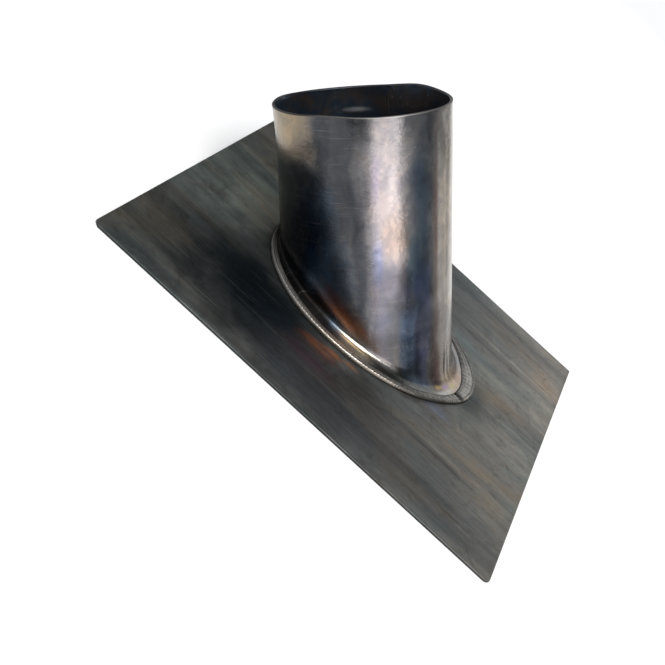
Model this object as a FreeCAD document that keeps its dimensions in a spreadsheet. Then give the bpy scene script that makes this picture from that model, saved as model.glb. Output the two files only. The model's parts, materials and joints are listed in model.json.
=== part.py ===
"""Lead pipe flashing boot for a pitched roof (a lead slate).

A flat sheet of roofing lead carries a raked sleeve that a soil or vent pipe
passes up through. The sleeve is a strip of the same lead rolled to a tube,
its foot turned out into a flange that lies on the sheet. One lead burned
bead closes the sleeve's long seam and another runs right round the flange.

Frame: the sheet lies flat, its underside at Z = 0 with the origin at the
middle of it. +X points down the roof slope, +Y across it, +Z out of the roof.
Lengths are in millimetres, angles in degrees.
"""

import FreeCAD, Part
import math
import os

import Sketcher

SIZES = {
    # the sheet
    "sheet_side": 310.0,
    "lead_thickness": 1.8,
    "hole_margin": 3.0,
    "clipped_corner": 3.5,
    "rounded_corner": 4.0,
    # the sleeve: its bore, its rake, its length on the axis above the sheet,
    # and how far up the slope from the sheet's middle its axis comes through
    "bore_radius": 56.0,
    "roof_pitch": 41.0,
    "upstand": 142.4,
    "setback": 3.7,
    # how far the flange stands out from the sleeve at heel, toe and sides
    "heel_land": 7.0,
    "toe_land": 13.0,
    "side_land": 12.5,
    "flange_end_radius": 60.0,
    # the radius of the turn from sleeve to flange, tight at the heel
    "heel_turn": 2.2,
    "toe_turn": 9.0,
    # the burned beads
    "bead_half_width": 3.8,
    "bead_height": 2.9,
    "bead_outer_slope": 2.2,
    "bead_inner_slope": 0.9,
    "seam_gap": 2.4,
    "seam_half_width": 3.2,
    "seam_height": 0.8,
    # how much larger than the part its cutting and trimming tools are
    "spare": 60.0,
}

NODES = ("base_sheet", "sleeve", "seam_weld", "foot_weld")
LEVEL_TOLERANCE = 1e-4

# Expressions on the sheet of sizes that more than one sub-part needs.
OUTER_RADIUS = "(sizes.bore_radius + sizes.lead_thickness)"
TOP_OF_SHEET = "sizes.lead_thickness"
REACH = "(sizes.sheet_side + sizes.spare)"
LEVEL = "rotation(vector(0; 0; 1); 0)"
RAKED = "rotation(vector(0; 1; 0); -sizes.roof_pitch)"

# The flange's edge is an oval, drawn off the ellipse where the sleeve meets the sheet.
FLANGE_CENTRE = "((sizes.toe_land - sizes.heel_land) / 2 - sizes.setback)"
FLANGE_LONG = f"({OUTER_RADIUS} / cos(sizes.roof_pitch) + (sizes.toe_land + sizes.heel_land) / 2)"
FLANGE_SHORT = f"({OUTER_RADIUS} + sizes.side_land)"

document = FreeCAD.newDocument("pipe_flashing_boot")
sizes = document.addObject("Spreadsheet::Sheet", "sizes")
for row, (alias, number) in enumerate(SIZES.items(), start=1):
    sizes.set(f"A{row}", alias)
    sizes.set(f"B{row}", str(number))
    sizes.setAlias(f"B{row}", alias)
document.recompute()


def add(kind, name, bound, **fixed):
    """Add an object, set its fixed properties and bind the rest to the sheet of sizes."""
    made = document.addObject(kind, name)
    for key, setting in fixed.items():
        setattr(made, key, setting)
    for key, expression in bound.items():
        made.setExpression(key, expression)
    return made


def level_at(x, y, z):
    """Placement that only shifts."""
    return f"placement(vector({x}; {y}; {z}); {LEVEL})"


def on_axis(sideways, across, along):
    """Placement in the sleeve's own directions, from where its axis leaves the sheet."""
    foot = f"placement(vector(-sizes.setback; 0; {TOP_OF_SHEET}); {RAKED})"
    return f"{foot} * placement(vector({sideways}; {across}; {along}); {LEVEL})"


# ---------------------------------------------------------------- base sheet
def make_base_sheet():
    """Square sheet with an oval hole, padded from one sketch, two corners blunted."""
    body = document.addObject("PartDesign::Body", "base_sheet")
    plane = next(p for p in body.Origin.OriginFeatures if p.Role == "XY_Plane")
    sketch = body.newObject("Sketcher::SketchObject", "sheet_outline")
    sketch.AttachmentSupport = (plane, "")
    sketch.MapMode = "FlatFace"
    draw_square(sketch)
    draw_pipe_hole(sketch)
    pad = body.newObject("PartDesign::Pad", "sheet_pad")
    pad.Profile = sketch
    pad.setExpression("Length", "sizes.lead_thickness")

    half = sizes.sheet_side / 2
    blunt_corner(body, "PartDesign::Chamfer", "Size", "clipped_corner", -half)
    blunt_corner(body, "PartDesign::Fillet", "Radius", "rounded_corner", half)


def draw_square(sketch):
    """The sheet's four edges, centred on the origin."""
    half = sizes.sheet_side / 2
    turns = ((-half, -half), (half, -half), (half, half), (-half, half))
    corners = [FreeCAD.Vector(x, y, 0) for x, y in turns]
    sketch.addGeometry([Part.LineSegment(corners[i - 1], corners[i]) for i in (1, 2, 3, 0)])
    for i in range(4):
        sketch.addConstraint(Sketcher.Constraint("Coincident", i, 2, (i + 1) % 4, 1))
    for i in (0, 2):
        sketch.addConstraint(Sketcher.Constraint("Horizontal", i))
        sketch.addConstraint(Sketcher.Constraint("Vertical", i + 1))
    sketch.addConstraint(Sketcher.Constraint("Symmetric", 0, 1, 2, 1, -1, 1))
    for line in (0, 1):
        side = sketch.addConstraint(Sketcher.Constraint("Distance", line, sizes.sheet_side))
        sketch.setExpression(f"Constraints[{side}]", "sizes.sheet_side")


def draw_pipe_hole(sketch):
    """Ellipse a margin larger than the raked bore, so the pipe clears the sheet."""
    centre = FreeCAD.Vector(-sizes.setback, 0, 0)
    first_long = 2 * sizes.bore_radius
    first_short = sizes.bore_radius
    hole = sketch.addGeometry(Part.Ellipse(centre, first_long, first_short))
    sketch.exposeInternalGeometry(hole)
    long_axis = hole + 1
    short_axis = hole + 2
    sketch.addConstraint(Sketcher.Constraint("Horizontal", long_axis))
    sketch.addConstraint(Sketcher.Constraint("PointOnObject", hole, 3, -1))
    setback = Sketcher.Constraint("DistanceX", hole, 3, -1, 1, sizes.setback)
    length = Sketcher.Constraint("Distance", long_axis, 2 * first_long)
    width = Sketcher.Constraint("Distance", short_axis, 2 * first_short)
    sketch.setExpression(f"Constraints[{sketch.addConstraint(setback)}]", "sizes.setback")
    sketch.setExpression(f"Constraints[{sketch.addConstraint(length)}]",
                         "2 * (sizes.bore_radius / cos(sizes.roof_pitch) + sizes.hole_margin)")
    sketch.setExpression(f"Constraints[{sketch.addConstraint(width)}]",
                         "2 * (sizes.bore_radius + sizes.hole_margin)")


def blunt_corner(body, kind, key, alias, corner_x):
    """Chamfer or round the sheet's upright edge at a near corner."""
    document.recompute()
    corner_y = -sizes.sheet_side / 2
    solid = body.Tip
    upright = [
        f"Edge{number}" for number, edge in enumerate(solid.Shape.Edges, start=1)
        if all(abs(end.X - corner_x) + abs(end.Y - corner_y) < LEVEL_TOLERANCE
               for end in edge.Vertexes)
    ]
    dressing = body.newObject(kind, alias)
    dressing.Base = (solid, upright)
    dressing.setExpression(key, f"sizes.{alias}")


# -------------------------------------------------------------------- sleeve
def raked_bar(name, radius):
    """Round bar on the sleeve's axis, from well under the sheet up to the rim."""
    below = f"({OUTER_RADIUS} + sizes.spare)"
    return add("Part::Cylinder", name, {
        "Radius": radius,
        "Height": f"{below} + sizes.upstand",
        "Placement": on_axis("0", "0", f"-{below}"),
    })


def slab(name, corner_y, floor, height):
    """Block over the whole length of the part."""
    return add("Part::Box", name, {
        "Length": REACH,
        "Width": REACH,
        "Height": height,
        "Placement": level_at(f"-{REACH} / 2", corner_y, floor),
    })


def draw_flange_edge():
    """Oval of four tangent arcs: two end arcs of set radius, two flatter side arcs.

    The arcs are placed near enough for the constraints to settle them.
    """
    outer_radius = sizes.bore_radius + sizes.lead_thickness
    long_radius = outer_radius / math.cos(math.radians(sizes.roof_pitch)) + sizes.toe_land
    short_radius = outer_radius + sizes.side_land
    end_radius = sizes.flange_end_radius
    reach = long_radius - end_radius
    side_radius = (reach ** 2 + short_radius ** 2 - end_radius ** 2) / 2 / (short_radius - end_radius)
    lift = side_radius - short_radius
    turn = math.atan2(lift, reach)
    sketch = add("Sketcher::SketchObject", "flange_edge", {
        "Placement": level_at(FLANGE_CENTRE, "0", TOP_OF_SHEET),
    })
    arcs = (
        (reach, 0, end_radius, -turn, turn),
        (0, -lift, side_radius, turn, math.pi - turn),
        (-reach, 0, end_radius, math.pi - turn, math.pi + turn),
        (0, lift, side_radius, math.pi + turn, 2 * math.pi - turn),
    )
    for x, y, radius, first, last in arcs:
        circle = Part.Circle(FreeCAD.Vector(x, y, 0), FreeCAD.Vector(0, 0, 1), radius)
        sketch.addGeometry(Part.ArcOfCircle(circle, first, last))
    top = sketch.addGeometry(Part.Point(FreeCAD.Vector(0, short_radius, 0)), True)
    for i in range(4):
        sketch.addConstraint(Sketcher.Constraint("Tangent", i, 2, (i + 1) % 4, 1))
    sketch.addConstraint(Sketcher.Constraint("PointOnObject", 0, 3, -1))
    sketch.addConstraint(Sketcher.Constraint("PointOnObject", 1, 3, -2))
    sketch.addConstraint(Sketcher.Constraint("Symmetric", 0, 3, 2, 3, -1, 1))
    sketch.addConstraint(Sketcher.Constraint("Equal", 1, 3))
    sketch.addConstraint(Sketcher.Constraint("PointOnObject", top, 1, -2))
    sketch.addConstraint(Sketcher.Constraint("PointOnObject", top, 1, 1))
    bind = (
        (Sketcher.Constraint("Radius", 0, end_radius), "sizes.flange_end_radius"),
        (Sketcher.Constraint("DistanceX", -1, 1, 0, 3, reach),
         f"{FLANGE_LONG} - sizes.flange_end_radius"),
        (Sketcher.Constraint("DistanceY", -1, 1, top, 1, short_radius), FLANGE_SHORT),
    )
    for constraint, expression in bind:
        number = sketch.addConstraint(constraint)
        sketch.setExpression(f"Constraints[{number}]", expression)
    return sketch


def plate(name, outline, thickness):
    """Plate raised from a flat outline."""
    return add("Part::Extrusion", name, {"LengthFwd": thickness}, Base=outline,
               DirMode="Custom", Dir=FreeCAD.Vector(0, 0, 1), Solid=True)


def turned(name, solid, height, added):
    """Round the oval edge where the bar meets a flat, tight at the heel, easy at the toe."""
    document.recompute()
    ovals = [
        (edge.Length, number, edge) for number, edge in enumerate(solid.Shape.Edges, start=1)
        if edge.Curve.TypeId == "Part::GeomEllipse"
        and abs(edge.BoundBox.ZMin - height) < LEVEL_TOLERANCE
        and abs(edge.BoundBox.ZMax - height) < LEVEL_TOLERANCE
    ]
    number, edge = min(ovals)[1:]
    radii = [sizes.heel_turn + added, sizes.toe_turn + added]
    if edge.valueAt(edge.FirstParameter).x > 0:
        radii.reverse()
    return add("Part::Fillet", name, {}, Base=solid, Edges=[(number, *radii)])


def make_sleeve(flange_edge):
    """Raked tube with its foot turned out into a flange, one wall thickness all over.

    One half is the difference of two solids, the outside and the inside of
    the lead. Each is a bar standing on a flat with a rounded foot, and the
    inside's foot is rounded by one thickness more.
    """
    flange = plate("flange_plate", flange_edge, "sizes.lead_thickness")
    near_side = slab("near_side", "0", TOP_OF_SHEET, REACH)
    outside = add("Part::MultiFuse", "outside_blank", {},
                  Shapes=[raked_bar("outer_bar", OUTER_RADIUS), flange])
    outside = add("Part::Common", "outside_half", {}, Base=outside, Tool=near_side)
    outside = turned("outside_turned", outside, 2 * sizes.lead_thickness, 0)

    under = slab("under_flange", f"-{REACH} / 2", f"{TOP_OF_SHEET} - {REACH}", REACH)
    whole_side = slab("whole_side", "0", f"-{REACH} / 2", f"2 * {REACH}")
    inside = add("Part::MultiFuse", "inside_blank", {},
                 Shapes=[raked_bar("bore_bar", "sizes.bore_radius"), under])
    inside = add("Part::Common", "inside_half", {}, Base=inside, Tool=whole_side)
    inside = turned("inside_turned", inside, sizes.lead_thickness, sizes.lead_thickness)

    half = add("Part::Cut", "half_sleeve", {}, Base=outside, Tool=inside)
    mirrored = add("Part::Mirroring", "other_half", {}, Source=half,
                   Normal=FreeCAD.Vector(0, 1, 0))
    rolled = add("Part::MultiFuse", "rolled_strip", {}, Shapes=[half, mirrored], Refine=True)
    gap = add("Part::Box", "seam_slot", {
        "Length": "sizes.seam_gap",
        "Width": REACH,
        "Height": f"2 * {REACH}",
        "Placement": on_axis("-sizes.seam_gap / 2", "0", f"-{REACH}"),
    })
    sleeve = add("Part::Cut", "sleeve", {}, Base=rolled, Tool=gap)
    return outside, inside, rolled, gap, sleeve


# --------------------------------------------------------------------- welds
def make_seam_weld(inside, rolled, gap, sleeve):
    """Lead filling the slot between the strip's ends, crowned on the outside of the tube."""
    filling = add("Part::Common", "seam_filling", {}, Base=rolled, Tool=gap)
    crown_radius = "((sizes.seam_half_width ^ 2 + sizes.seam_height ^ 2) / 2 / sizes.seam_height)"
    crown = add("Part::Cylinder", "seam_crown_bar", {
        "Radius": crown_radius,
        "Height": "sizes.upstand - sizes.lead_thickness",
        "Placement": on_axis("0", f"{OUTER_RADIUS} + sizes.seam_height - {crown_radius}",
                             "sizes.lead_thickness"),
    })
    crown = add("Part::Cut", "seam_crown", {}, Base=crown, Tool=inside)
    bar = add("Part::MultiFuse", "seam_bar", {}, Shapes=[filling, crown])
    return add("Part::Cut", "seam_weld", {}, Base=bar, Tool=sleeve)


def make_foot_weld(flange_edge, outside):
    """Low bead run along the flange's edge, half on the flange and half on the sheet."""
    plates = []
    for name, offset in (("outer", "sizes.bead_half_width"), ("inner", "-sizes.bead_half_width")):
        parallel = add("Part::Offset2D", f"bead_{name}_edge", {"Value": offset}, Source=flange_edge)
        plates.append(plate(f"bead_{name}_plate", parallel, "sizes.bead_height"))
    bead = add("Part::Cut", "bead_ring", {}, Base=plates[0], Tool=plates[1])
    bead = bevelled("bead", bead, sizes.lead_thickness + sizes.bead_height)
    far_side = add("Part::Mirroring", "outside_far_side", {}, Source=outside,
                   Normal=FreeCAD.Vector(0, 1, 0))
    bead = add("Part::Cut", "bead_near_side", {}, Base=bead, Tool=outside)
    return add("Part::Cut", "foot_weld", {}, Base=bead, Tool=far_side)


def bevelled(name, ring, height):
    """Slope both shoulders of a flat-topped ring, the outer one further down."""
    document.recompute()
    top = next(face for face in ring.Shape.Faces
               if abs(face.BoundBox.ZMin - height) < LEVEL_TOLERANCE)
    shoulders = []
    for number, edge in enumerate(ring.Shape.Edges, start=1):
        if abs(edge.BoundBox.ZMin - height) < LEVEL_TOLERANCE:
            outer = any(edge.isSame(rim) for rim in top.OuterWire.Edges)
            slope = sizes.bead_outer_slope if outer else sizes.bead_inner_slope
            shoulders.append((number, slope, slope))
    return add("Part::Chamfer", name, {}, Base=ring, Edges=shoulders)


make_base_sheet()
flange_edge = draw_flange_edge()
outside, inside, rolled, gap, sleeve = make_sleeve(flange_edge)
make_seam_weld(inside, rolled, gap, sleeve)
make_foot_weld(flange_edge, outside)
document.recompute()

for made in document.Objects:
    if "Invalid" in made.State or "Error" in made.State:
        raise RuntimeError(f"{made.Label} failed: {made.State}")

os.makedirs("parts", exist_ok=True)
for node in NODES:
    shape = document.getObject(node).Shape
    if shape.isNull() or not shape.isValid():
        raise RuntimeError(f"{node} has no valid shape")
    shape.exportStep(f"parts/{node}.step")
    print(f"{node}: {len(shape.Solids)} solid, {shape.Volume:.0f} cubic mm")
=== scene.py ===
import json
import math

import bpy
import numpy as np
from mathutils import Matrix, Vector


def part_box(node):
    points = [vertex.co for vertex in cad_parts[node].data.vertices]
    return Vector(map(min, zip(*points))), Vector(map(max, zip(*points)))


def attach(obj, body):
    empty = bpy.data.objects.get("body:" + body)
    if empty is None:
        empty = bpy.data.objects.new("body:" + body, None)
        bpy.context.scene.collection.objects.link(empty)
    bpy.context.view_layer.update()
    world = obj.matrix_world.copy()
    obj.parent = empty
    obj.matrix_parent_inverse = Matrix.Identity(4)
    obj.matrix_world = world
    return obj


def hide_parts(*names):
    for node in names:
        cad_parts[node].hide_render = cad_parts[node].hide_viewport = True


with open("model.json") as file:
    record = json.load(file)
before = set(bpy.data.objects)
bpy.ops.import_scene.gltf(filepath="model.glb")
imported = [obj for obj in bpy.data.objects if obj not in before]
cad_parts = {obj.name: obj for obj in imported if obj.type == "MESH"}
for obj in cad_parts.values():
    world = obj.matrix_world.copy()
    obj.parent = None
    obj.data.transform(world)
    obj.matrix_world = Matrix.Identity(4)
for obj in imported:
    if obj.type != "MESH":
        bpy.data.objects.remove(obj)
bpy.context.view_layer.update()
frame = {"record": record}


# ---------------------------------------------------------------- studio
# A plain pale floor that runs to the horizon, a high soft sun for an even floor, and soft
# boxes that stand round the boot for the lead to mirror. None of it is part of the boot.
MM = 0.001


def lamp(name, kind, energy, colour=(1, 1, 1)):
    """Light of one kind, in watts, or watts a square metre for a sun."""
    light = bpy.data.lights.new(name, kind)
    light.energy = energy
    light.color = colour
    holder = bpy.data.objects.new(name, light)
    bpy.context.collection.objects.link(holder)
    return holder


def aim(holder, place, target):
    """Stands a light or camera at a place with its front, local -Z, towards a target."""
    holder.location = place
    holder.rotation_mode = "QUATERNION"
    holder.rotation_quaternion = (Vector(target) - Vector(place)).to_track_quat("-Z", "Y")


pipe_bore = next(mount for mount in frame["record"]["mounts"] if mount["name"] == "pipe_bore")
SLEEVE_AXIS = Vector(pipe_bore["axis"])
BOOT_MIDDLE = Vector((-0.03, 0, 0.06))


def soft_box(name, azimuth, elevation, distance, size, energy, colour=(1, 1, 1)):
    """Area light square on to the boot, by its bearing from +X and its height in degrees, with
    its long side parallel to the sleeve."""
    turn, lift = math.radians(azimuth), math.radians(elevation)
    towards = Vector((math.cos(turn) * math.cos(lift), math.sin(turn) * math.cos(lift), math.sin(lift)))
    box = lamp(name, "AREA", energy, colour)
    box.data.shape = "RECTANGLE"
    box.data.size, box.data.size_y = size
    box.visible_camera = False
    upright = (SLEEVE_AXIS - SLEEVE_AXIS.dot(towards) * towards).normalized()
    box.location = BOOT_MIDDLE + distance * towards
    box.rotation_mode = "QUATERNION"
    facing = Matrix((upright.cross(towards), upright, towards)).transposed()
    box.rotation_quaternion = facing.to_quaternion()


def make_room():
    """Dim room for the lead to mirror, seen straight on as a pale backdrop."""
    world = bpy.data.worlds.new("studio")
    world.use_nodes = True
    sky = world.node_tree.nodes["Background"].inputs["Color"]
    seen = world.node_tree.nodes.new("ShaderNodeLightPath").outputs["Is Camera Ray"]
    tone = world.node_tree.nodes.new("ShaderNodeMix")
    tone.data_type = "RGBA"
    mirrored, backdrop = tone.inputs[6], tone.inputs[7]
    mirrored.default_value = (0.13, 0.135, 0.145, 1)
    backdrop.default_value = (0.98, 0.98, 0.98, 1)
    world.node_tree.links.new(seen, tone.inputs[0])
    world.node_tree.links.new(tone.outputs[2], sky)
    bpy.context.scene.world = world


def make_floor():
    """Square of matt pale board, wide enough to reach the horizon in low views."""
    half = 40.0
    floor_mesh = bpy.data.meshes.new("floor")
    floor_mesh.from_pydata([(-half, -half, 0), (half, -half, 0), (half, half, 0), (-half, half, 0)],
                           [], [(0, 1, 2, 3)])
    floor = bpy.data.objects.new("floor", floor_mesh)
    bpy.context.collection.objects.link(floor)
    paint = bpy.data.materials.new("floor_paint")
    paint.use_nodes = True
    shader = paint.node_tree.nodes["Principled BSDF"]
    shader.inputs["Base Color"].default_value = (0.86, 0.86, 0.86, 1)
    shader.inputs["Roughness"].default_value = 0.9
    floor_mesh.materials.append(paint)


def make_lights():
    """A sun for the floor, a key box for the sleeve's bright band, and two boxes for the paler
    bands at its right and behind."""
    sun = lamp("high_sun", "SUN", 3.7)
    sun.data.angle = math.radians(45)
    aim(sun, (0.2, -1.0, 1.9), (0, 0, 0))
    soft_box("key", azimuth=-42.4, elevation=8.1, distance=1.1, size=(0.72, 1.0), energy=4.2,
             colour=(1.0, 0.93, 0.93))
    soft_box("right", azimuth=38, elevation=7, distance=1.2, size=(0.55, 0.8), energy=1.3,
             colour=(1.0, 0.95, 0.88))
    soft_box("back", azimuth=74, elevation=24, distance=1.5, size=(1.0, 0.6), energy=2.0,
             colour=(0.98, 0.99, 1.0))


def place_camera():
    """Looks down on the boot from the front, rolled so that the sleeve stands upright."""
    aim_point = Vector((-9.3, -45.8, -7.5)) * MM
    azimuth, elevation, roll = math.radians(-0.462), math.radians(29.52), math.radians(42.81)
    distance = 767.07 * MM
    back = Vector((math.sin(azimuth) * math.cos(elevation), -math.cos(azimuth) * math.cos(elevation),
                   math.sin(elevation)))
    camera = bpy.data.objects.new("camera", bpy.data.cameras.new("camera"))
    bpy.context.collection.objects.link(camera)
    aim(camera, aim_point + distance * back, aim_point)
    rolled = Matrix.Rotation(roll, 4, "Z").to_quaternion()
    camera.rotation_quaternion = camera.rotation_quaternion @ rolled
    camera.data.lens = 62.6
    camera.data.sensor_width = 36
    camera.data.clip_end = 200
    bpy.context.scene.camera = camera


make_room()
make_floor()
make_lights()
place_camera()
bpy.context.scene.view_settings.view_transform = "Standard"


# ------------------------------------------------------------ base sheet
# A square of milled sheet lead, cut with straight shears and laid flat. An oval hole is cut
# in it for the pipe, one corner is clipped and the one across the slope is worn round. The
# mill leaves long soft streaks along the sheet, and handling leaves scratches and smears.
def solid_from_grid(name, points, closed_rows=True):
    """Closed solid from rows of a section's points: each section closes on itself, and the
    rows either close on themselves too or end in caps that join a section's two halves."""
    rows, columns, _ = points.shape
    row = np.arange(rows if closed_rows else rows - 1)[:, None]
    column = np.arange(columns)[None, :]
    next_row, next_column = (row + 1) % rows, (column + 1) % columns
    corners = [row * columns + column, row * columns + next_column,
               next_row * columns + next_column, next_row * columns + column]
    quads = np.stack(np.broadcast_arrays(*corners), axis=-1).reshape(-1, 4)
    if not closed_rows:
        near = np.arange(columns // 2 - 1)
        far = columns - 1 - near
        cap = np.stack([near, far, far - 1, near + 1], axis=-1)
        quads = np.concatenate([quads, cap, cap[:, ::-1] + (rows - 1) * columns])
    flat = points.reshape(-1, 3)
    a, b, c, d = (flat[quads[:, i]] for i in range(4))
    volume = np.einsum("ij,ij->i", a, np.cross(b, c) + np.cross(c, d)).sum()
    if volume < 0:
        quads = quads[:, ::-1]
    mesh = bpy.data.meshes.new(name)
    mesh.from_pydata(flat.tolist(), [], quads.tolist())
    mesh.shade_smooth()
    piece = bpy.data.objects.new(name, mesh)
    bpy.context.collection.objects.link(piece)
    return piece


def add_field(piece, name, values):
    """Stores one number a vertex for the material to read."""
    layer = piece.data.attributes.new(name, "FLOAT", "POINT")
    layer.data.foreach_set("value", np.ascontiguousarray(values, dtype=np.float32).ravel())


def smooth_noise(x, y, seed, waves=24, shortest=0.02, longest=0.2):
    """Gentle unevenness: a sum of sine waves of seeded directions, phases and lengths."""
    draw = np.random.default_rng(seed)
    total = np.zeros(np.broadcast(x, y).shape)
    for _ in range(waves):
        heading, phase = draw.uniform(0, 2 * math.pi, 2)
        length = longest * (shortest / longest) ** draw.uniform()
        along = x * math.cos(heading) + y * math.sin(heading)
        total += length / longest * np.sin(2 * math.pi * along / length + phase)
    return total / math.sqrt(waves)


class Finish:
    """A material's node tree, with one short call for each kind of node it uses. A noise's scale
    is in waves a metre."""

    def __init__(self, name):
        self.material = bpy.data.materials.new(name)
        self.material.use_nodes = True
        self.tree = self.material.node_tree
        self.shader = self.tree.nodes["Principled BSDF"]

    def node(self, kind, inputs=(), **settings):
        """Adds a node; each input is a number, a colour or another node's output."""
        made = self.tree.nodes.new("ShaderNode" + kind)
        for key, value in settings.items():
            setattr(made, key, value)
        for key, value in dict(inputs).items():
            self.feed(made.inputs[key], value)
        return made

    def feed(self, socket, value):
        """Links another node's output to a socket, or sets the socket to a number or colour."""
        if isinstance(value, bpy.types.NodeSocket):
            self.tree.links.new(value, socket)
        elif isinstance(value, tuple) and len(value) == 3 and socket.type == "RGBA":
            socket.default_value = (*value, 1)
        else:
            socket.default_value = value

    def place(self):
        """Position on the piece, in metres."""
        return self.node("TexCoord").outputs["Object"]

    def field(self, name):
        """Number stored on the piece's vertices under a name."""
        return self.node("Attribute", attribute_name=name).outputs["Fac"]

    def stretch(self, place, scale, turn=0.0, shift=(0, 0, 0)):
        """Place measured in other units along each axis, turned about Z."""
        return self.node("Mapping", {"Vector": place, "Scale": scale, "Location": shift,
                                     "Rotation": (0, 0, math.radians(turn))}).outputs["Vector"]

    def noise(self, place, scale, detail=3.0, rough=0.5, warp=0.0):
        """Cloudy number about 0.5 that changes with the place."""
        return self.node("TexNoise", {"Vector": place, "Scale": scale, "Detail": detail,
                                      "Roughness": rough, "Distortion": warp}).outputs["Fac"]

    def spread(self, value, low, high, to_low=0.0, to_high=1.0):
        """Value between low and high, eased onto another range."""
        return self.node("MapRange", {"Value": value, "From Min": low, "From Max": high,
                                      "To Min": to_low, "To Max": to_high},
                         interpolation_type="SMOOTHSTEP").outputs["Result"]

    def band(self, value, low, high, soft):
        """1 where the value lies between low and high, eased out over soft at either end."""
        return self.math("MULTIPLY", self.spread(value, low - soft, low + soft),
                         self.spread(value, high + soft, high - soft))

    def math(self, operation, a, b=0.0):
        """Sum, product or other single operation on one or two numbers."""
        return self.node("Math", {0: a, 1: b}, operation=operation).outputs["Value"]

    def weighed(self, a, share_a, b, share_b):
        """Two numbers added, each times its share."""
        return self.math("ADD", self.math("MULTIPLY", a, share_a), self.math("MULTIPLY", b, share_b))

    def mix(self, amount, a, b, blend="MIX"):
        """Colour a, with colour b over it by the amount."""
        made = self.node("Mix", data_type="RGBA", blend_type=blend)
        self.feed(made.inputs[0], amount)
        self.feed(made.inputs[6], a)
        self.feed(made.inputs[7], b)
        return made.outputs[2]

    def spot(self, place, centre, reach, ragged, seed_scale=60.0):
        """Soft-edged patch: 1 at its centre, 0 past its reach along each axis."""
        offset = self.node("VectorMath", {0: place, 1: centre}, operation="SUBTRACT").outputs["Vector"]
        shares = tuple(1 / r for r in reach)
        local = self.node("VectorMath", {0: offset, 1: shares}, operation="MULTIPLY").outputs["Vector"]
        away = self.node("VectorMath", {0: local}, operation="LENGTH").outputs["Value"]
        wobble = self.math("MULTIPLY", self.math("SUBTRACT", self.noise(place, seed_scale, 4.0), 0.5),
                           2 * ragged)
        return self.spread(self.math("ADD", away, wobble), 1.0, 0.1)

    def stained(self, colour, place, spots, ragged, seed_scale=60.0, height=0.0, blend="MIX"):
        """Colour with soft-edged spots laid over it in turn. Each spot has its centre and its
        reach in millimetres, its colour, and how strongly it covers."""
        for (x, y), (reach_x, reach_y), tint, strength in spots:
            mask = self.spot(place, (x * MM, y * MM, height), (reach_x * MM, reach_y * MM, 1.0),
                             ragged, seed_scale)
            colour = self.mix(self.math("MULTIPLY", mask, strength), colour, tint, blend)
        return colour

    def scratched(self, colour, place, cuts, shade):
        """Colour with sets of fine straight scratches over it. Each set has its turn in degrees,
        how finely it changes along and across a metre, and a shift that keeps it apart."""
        for turn, along, across, shift in cuts:
            cut = self.stretch(place, (along, across, 10.0), turn, (shift, shift, 0))
            colour = self.mix(self.spread(self.noise(cut, 1.0, 1.0, 0.4), 0.66, 0.80, 0.0, 0.22),
                              colour, shade)
        return colour

    def finish(self, colour, roughness, relief, depth, metallic):
        """Feeds the shader, with fine relief of a depth in metres, and gives the material."""
        self.feed(self.shader.inputs["Base Color"], colour)
        self.feed(self.shader.inputs["Roughness"], roughness)
        self.shader.inputs["Metallic"].default_value = metallic
        bump = self.node("Bump", {"Height": relief, "Strength": 1.0, "Distance": depth})
        self.feed(self.shader.inputs["Normal"], bump.outputs["Normal"])
        return self.material


sheet_low, sheet_high = (np.array(corner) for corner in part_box("base_sheet"))
SHEET_HALF = (sheet_high[0] - sheet_low[0]) / 2
SHEET_TOP = sheet_high[2]

# The sleeve's axis leans up the slope by the roof's pitch and meets the sheet's top at FOOT.
AXIS = np.array(pipe_bore["axis"])
PITCH = math.acos(AXIS[2])
FACING = np.array([AXIS[2], 0, -AXIS[0]])
ACROSS = np.array([0.0, 1.0, 0.0])
RIM = (pipe_bore["pos_m"][2] - SHEET_TOP) / AXIS[2]
FOOT = np.array(pipe_bore["pos_m"]) - RIM * AXIS
BORE = pipe_bore["dims"]["r_mm"] * MM
LEAD = SHEET_TOP
OUTER = BORE + LEAD
CLIPPED_CORNER = 3.5 * MM
WORN_CORNER = 4 * MM
HOLE_MARGIN = 3.0 * MM
SHEARED_EDGE = 0.45 * MM
SHEET_WAVES = 0.10 * MM


def sheet_outline(samples):
    """Square walked round at even steps, with one corner clipped straight and one rounded."""
    step = np.linspace(0, 4, samples, endpoint=False)
    side = step.astype(int)
    run = (step - side) * 2 - 1
    one = np.ones_like(run)
    x = np.choose(side, [run, one, -run, -one]) * SHEET_HALF
    y = np.choose(side, [-one, run, one, -run]) * SHEET_HALF
    over = np.maximum(CLIPPED_CORNER - (x + SHEET_HALF) - (y + SHEET_HALF), 0)
    x, y = x + over / 2, y + over / 2
    centre_x, centre_y = SHEET_HALF - WORN_CORNER, WORN_CORNER - SHEET_HALF
    reach = np.hypot(x - centre_x, y - centre_y)
    in_corner = (x > centre_x) & (y < centre_y)
    x = np.where(in_corner, centre_x + (x - centre_x) * WORN_CORNER / reach, x)
    y = np.where(in_corner, centre_y + (y - centre_y) * WORN_CORNER / reach, y)
    return x, y


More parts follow.
